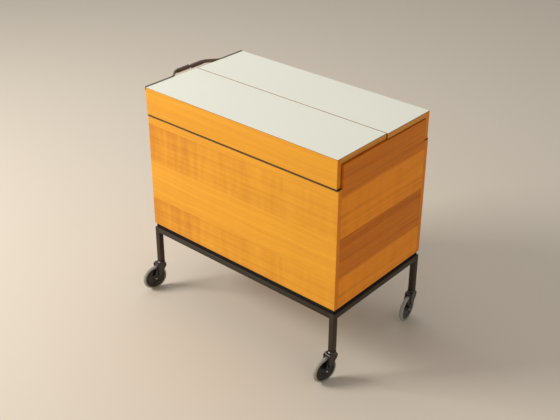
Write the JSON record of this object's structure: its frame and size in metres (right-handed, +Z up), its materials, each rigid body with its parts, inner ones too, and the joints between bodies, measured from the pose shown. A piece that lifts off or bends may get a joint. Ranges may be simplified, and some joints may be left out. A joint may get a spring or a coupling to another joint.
{
  "type": "sewing box on castors",
  "caption": "Veneered sewing box on a square-tube frame with swivel castors; its top opens in two laminate leaves over sliding divided trays and a deep well.",
  "frame": {"origin": "on the floor under the middle of the whole object's box, wheels, hinges and handle included", "axes": "+Z up, +X along the case from the handle end to the plain end, -Y out of the front face"},
  "size_m": [0.6628, 0.4118, 0.605],
  "materials": {
    "amber_veneer": "clear-lacquered cherry veneer, satin",
    "interior_wood": "waxed beech",
    "laminate": "satin decorative laminate",
    "black_steel": "baked black-brown enamel",
    "black_wood": "black-stained",
    "bright_steel": "zinc-plated",
    "dark_hinge": "blackened steel",
    "sleeve": "moulded",
    "wheel_disc": "moulded",
    "tyre": "grey rubber"
  },
  "bodies": {
    "case_and_frame": {"front_panel": "amber_veneer", "rear_panel": "amber_veneer", "left_end_panel": "amber_veneer", "right_end_panel": "amber_veneer", "bottom_panel": "interior_wood", "front_hinge_plate": "dark_hinge", "rear_hinge_plate": "dark_hinge", "hinge_pins": "dark_hinge", "case_screws": "bright_steel", "upper_runners": "interior_wood", "lower_runners": "interior_wood", "front_rail": "black_steel", "rear_rail": "black_steel", "left_rail": "black_steel", "right_rail": "black_steel", "leg_front_left": "black_steel", "leg_front_right": "black_steel", "leg_rear_left": "black_steel", "leg_rear_right": "black_steel", "battens": "black_wood", "frame_screws": "bright_steel", "castor_sockets": "bright_steel"},
    "front_lid": {"front_lid_board": "amber_veneer", "front_laminate": "laminate", "front_fascia": "amber_veneer", "front_hinge_flap": "dark_hinge", "front_lid_screws": "bright_steel", "front_handle_strap": "black_steel", "front_handle_sleeve": "sleeve"},
    "rear_lid": {"rear_lid_board": "amber_veneer", "rear_laminate": "laminate", "rear_fascia": "amber_veneer", "rear_hinge_flap": "dark_hinge", "rear_lid_screws": "bright_steel", "rear_handle_strap": "black_steel", "rear_handle_sleeve": "sleeve"},
    "upper_tray": {"upper_tray_walls": "interior_wood", "upper_tray_base": "interior_wood", "upper_tray_dividers": "interior_wood", "spool_pins": "interior_wood"},
    "lower_tray": {"lower_tray_walls": "interior_wood", "lower_tray_base": "interior_wood", "lower_tray_dividers": "interior_wood"},
    "castor_front_left": {"fork_front_left": "black_steel", "rivets_front_left": "bright_steel"},
    "castor_wheel_front_left": {"wheel_front_left": "wheel_disc", "tyre_front_left": "tyre"},
    "castor_front_right": {"fork_front_right": "black_steel", "rivets_front_right": "bright_steel"},
    "castor_wheel_front_right": {"wheel_front_right": "wheel_disc", "tyre_front_right": "tyre"},
    "castor_rear_left": {"fork_rear_left": "black_steel", "rivets_rear_left": "bright_steel"},
    "castor_wheel_rear_left": {"wheel_rear_left": "wheel_disc", "tyre_rear_left": "tyre"},
    "castor_rear_right": {"fork_rear_right": "black_steel", "rivets_rear_right": "bright_steel"},
    "castor_wheel_rear_right": {"wheel_rear_right": "wheel_disc", "tyre_rear_right": "tyre"}
  },
  "joints": [
    {"name": "front_lid_hinge", "type": "hinge", "parent": "case_and_frame", "child": "front_lid", "pos_m": [0.01462, -0.15776, 0.527], "axis": [1, 0, 0], "range_deg": [0, 180]},
    {"name": "rear_lid_hinge", "type": "hinge", "parent": "case_and_frame", "child": "rear_lid", "pos_m": [0.01462, 0.20184, 0.527], "axis": [-1, 0, 0], "range_deg": [0, 180]},
    {"name": "upper_tray_slide", "type": "slide", "parent": "case_and_frame", "child": "upper_tray", "axis": [0, -1, 0], "range_m": [0, 0.1624]},
    {"name": "lower_tray_slide", "type": "slide", "parent": "case_and_frame", "child": "lower_tray", "axis": [0, 1, 0], "range_m": [0, 0.1624]},
    {"name": "castor_swivel_front_left", "type": "hinge", "parent": "case_and_frame", "child": "castor_front_left", "pos_m": [-0.28828, -0.14936, 0.083], "axis": [0, 0, 1], "continuous": true},
    {"name": "wheel_spin_front_left", "type": "hinge", "parent": "castor_front_left", "child": "castor_wheel_front_left", "pos_m": [-0.2941, -0.17109, 0.035], "axis": [0.9659, -0.2588, 0], "continuous": true},
    {"name": "castor_swivel_front_right", "type": "hinge", "parent": "case_and_frame", "child": "castor_front_right", "pos_m": [0.31752, -0.14936, 0.083], "axis": [0, 0, 1], "continuous": true},
    {"name": "wheel_spin_front_right", "type": "hinge", "parent": "castor_front_right", "child": "castor_wheel_front_right", "pos_m": [0.31323, -0.17145, 0.035], "axis": [0.9816, -0.1908, 0], "continuous": true},
    {"name": "castor_swivel_rear_left", "type": "hinge", "parent": "case_and_frame", "child": "castor_rear_left", "pos_m": [-0.28828, 0.19344, 0.083], "axis": [0, 0, 1], "continuous": true},
    {"name": "wheel_spin_rear_left", "type": "hinge", "parent": "castor_rear_left", "child": "castor_wheel_rear_left", "pos_m": [-0.28906, 0.17095, 0.035], "axis": [0.9994, -0.0349, 0], "continuous": true},
    {"name": "castor_swivel_rear_right", "type": "hinge", "parent": "case_and_frame", "child": "castor_rear_right", "pos_m": [0.31752, 0.19344, 0.083], "axis": [0, 0, 1], "continuous": true},
    {"name": "wheel_spin_rear_right", "type": "hinge", "parent": "castor_rear_right", "child": "castor_wheel_rear_right", "pos_m": [0.31987, 0.17106, 0.035], "axis": [0.9945, 0.1045, 0], "continuous": true}
  ]
}
